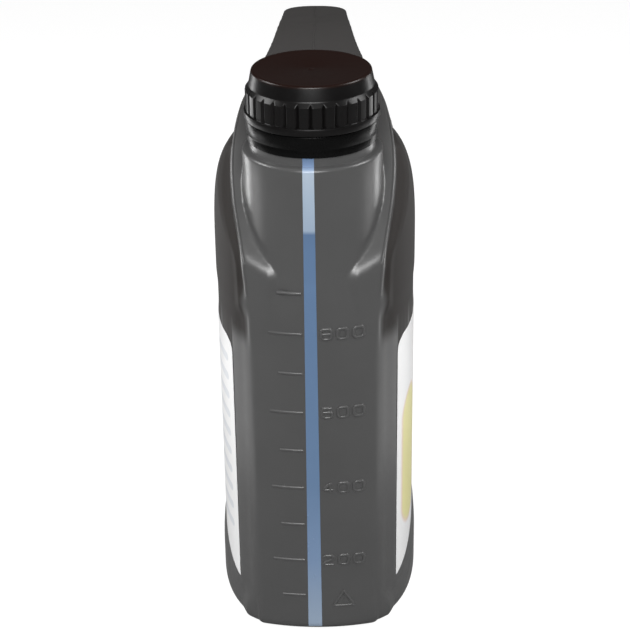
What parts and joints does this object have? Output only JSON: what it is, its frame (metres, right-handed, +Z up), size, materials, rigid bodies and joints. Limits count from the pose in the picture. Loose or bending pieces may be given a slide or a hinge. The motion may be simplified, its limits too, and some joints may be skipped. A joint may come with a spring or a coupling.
{
  "type": "transmission fluid bottle",
  "caption": "One litre blown bottle with a screw cap, an integral rear handle, a clear sight strip with raised volume ticks, and a film label on each side.",
  "frame": {"origin": "middle of the bounding box on the floor, under the base", "axes": "+Z up, -Y the front with the sight strip, the handle towards +Y"},
  "size_m": [0.072, 0.122, 0.2042],
  "materials": {
    "body_plastic": "satin blown polyethylene",
    "strip_plastic": "clear natural polyethylene",
    "label_film": "printed film",
    "cap_plastic": "moulded polypropylene",
    "liner_foam": "foamed polyethylene",
    "fluid": "oil"
  },
  "bodies": {
    "bottle": {"bottle": "body_plastic", "sight_strip": "strip_plastic", "label_left": "label_film", "label_right": "label_film", "tamper_ring": "cap_plastic", "fluid": "fluid"},
    "liner": {"cap_liner": "liner_foam"},
    "cap": {"screw_cap": "cap_plastic"}
  },
  "joints": [
    {"name": "cap_lift", "type": "slide", "parent": "bottle", "child": "liner", "axis": [0, 0, 1], "range_m": [0, 0.0201]},
    {"name": "cap_turn", "type": "hinge", "parent": "liner", "child": "cap", "pos_m": [0, -0.03755, 0.196], "axis": [0, 0, 1], "range_deg": [0, 1440]}
  ],
  "couplings": [
    {"joint": "cap_lift", "follows": "cap_turn", "m_per_rad": 0.00079577}
  ]
}
